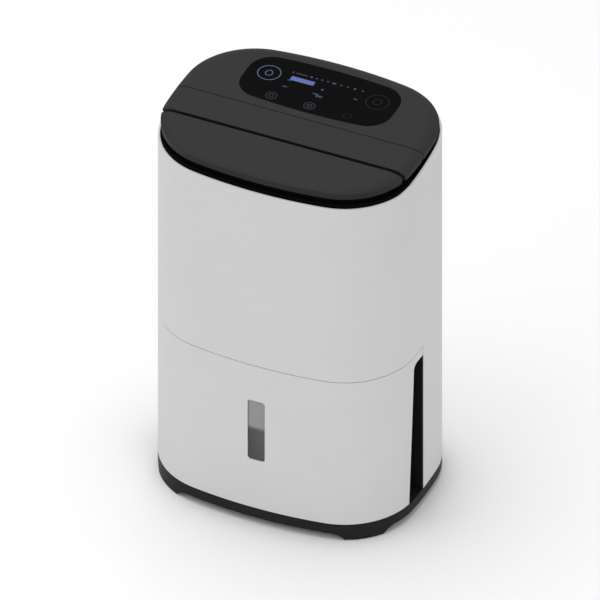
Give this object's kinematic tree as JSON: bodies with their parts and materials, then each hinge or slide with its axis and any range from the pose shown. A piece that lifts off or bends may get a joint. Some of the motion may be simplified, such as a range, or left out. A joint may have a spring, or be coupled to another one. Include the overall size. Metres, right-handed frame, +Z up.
{
  "type": "dehumidifier",
  "caption": "Free-standing compressor dehumidifier, white oval body on a dark base, lift-out tank with smoked level window, dark lid with flap outlet, pull-up handle and touch panel.",
  "frame": {"origin": "on the floor under the centre of the body's outline", "axes": "+Z up; the front, with the tank, faces -Y; +X to the right as seen from the front"},
  "size_m": [0.316, 0.242, 0.497],
  "materials": {
    "white_shell": "fine matt",
    "lid_charcoal": "fine matt",
    "base_charcoal": "fine matt",
    "deck_black": "matt",
    "panel_black": "polished, dark tinted",
    "window_smoke": "polished, smoked",
    "tank_smoke": "dark, slightly clear",
    "inner_grey": "plain moulding",
    "inner_black": "plain moulding",
    "float_white": "plain moulding",
    "rubber_black": "matt",
    "steel": "bright",
    "compressor_black": "semi-gloss black paint",
    "fin_aluminium": "mill",
    "copper_tube": "copper-coloured tube",
    "board_green": "coated board",
    "mesh_grey": "fine woven screen"
  },
  "bodies": {
    "housing": {"base_tray": "base_charcoal", "foot_pads": "rubber_black", "base_screws": "steel", "front_housing": "white_shell", "rear_cover": "white_shell", "partition_wall": "inner_black", "drip_tray": "inner_black", "reed_switch": "inner_black", "outlet_deck": "deck_black", "outlet_grille": "deck_black", "flap_motor": "steel", "handle_guides": "inner_grey", "rear_lid": "lid_charcoal", "panel_glass": "panel_black", "lid_screws": "steel", "display_board": "board_green", "touch_springs": "steel", "fan_scroll": "inner_grey", "outlet_duct": "inner_grey", "fan_motor": "steel", "motor_screws": "steel", "air_shroud": "inner_grey", "evaporator_fins": "fin_aluminium", "evaporator_coil": "copper_tube", "condenser_fins": "fin_aluminium", "condenser_coil": "copper_tube", "coil_end_plates": "steel", "compressor": "compressor_black", "compressor_grommets": "rubber_black", "compressor_studs": "steel", "accumulator": "compressor_black", "suction_pipe": "copper_tube", "discharge_pipe": "copper_tube", "capillary_tube": "copper_tube", "pcb_box": "inner_grey", "control_board": "board_green", "run_capacitor": "fin_aluminium", "humidity_sensor": "board_green", "drain_port": "inner_black", "drain_hose": "rubber_black", "cord_gland": "inner_black"},
    "tank": {"tank_front": "white_shell", "level_window": "window_smoke", "tank_body": "tank_smoke", "tank_lid": "inner_black", "float_pin": "steel"},
    "float_arm": {"float": "float_white", "float_magnet": "steel"},
    "flap": {"outlet_flap": "lid_charcoal", "flap_pin": "steel", "flap_drive_shaft": "steel"},
    "handle": {"carry_handle": "lid_charcoal", "handle_stops": "steel"},
    "fan_wheel": {"impeller": "inner_black", "fan_shaft": "steel", "fan_nut": "steel"},
    "filter": {"filter_cover": "white_shell", "filter_frame": "inner_grey", "filter_mesh": "mesh_grey"},
    "plug": {"drain_plug": "rubber_black"}
  },
  "joints": [
    {"name": "tank_slide", "type": "slide", "parent": "housing", "child": "tank", "axis": [0, -1, 0], "range_m": [0, 0.15]},
    {"name": "float_pivot", "type": "hinge", "parent": "tank", "child": "float_arm", "pos_m": [-0.105, -0.02, 0.188], "axis": [-1, 0, 0], "range_deg": [0, 18]},
    {"name": "flap_hinge", "type": "hinge", "parent": "housing", "child": "flap", "pos_m": [0, -0.0556, 0.489], "axis": [-1, 0, 0], "range_deg": [0, 75]},
    {"name": "handle_lift", "type": "slide", "parent": "housing", "child": "handle", "axis": [0, 0, 1], "range_m": [0, 0.042]},
    {"name": "fan_spin", "type": "hinge", "parent": "housing", "child": "fan_wheel", "pos_m": [-0.01, 0, 0.34435], "axis": [0, 1, 0], "continuous": true},
    {"name": "filter_slide", "type": "slide", "parent": "housing", "child": "filter", "axis": [0, 1, 0], "range_m": [0, 0.05]},
    {"name": "plug_pull", "type": "slide", "parent": "housing", "child": "plug", "axis": [0, 1, 0], "range_m": [0, 0.02]}
  ]
}
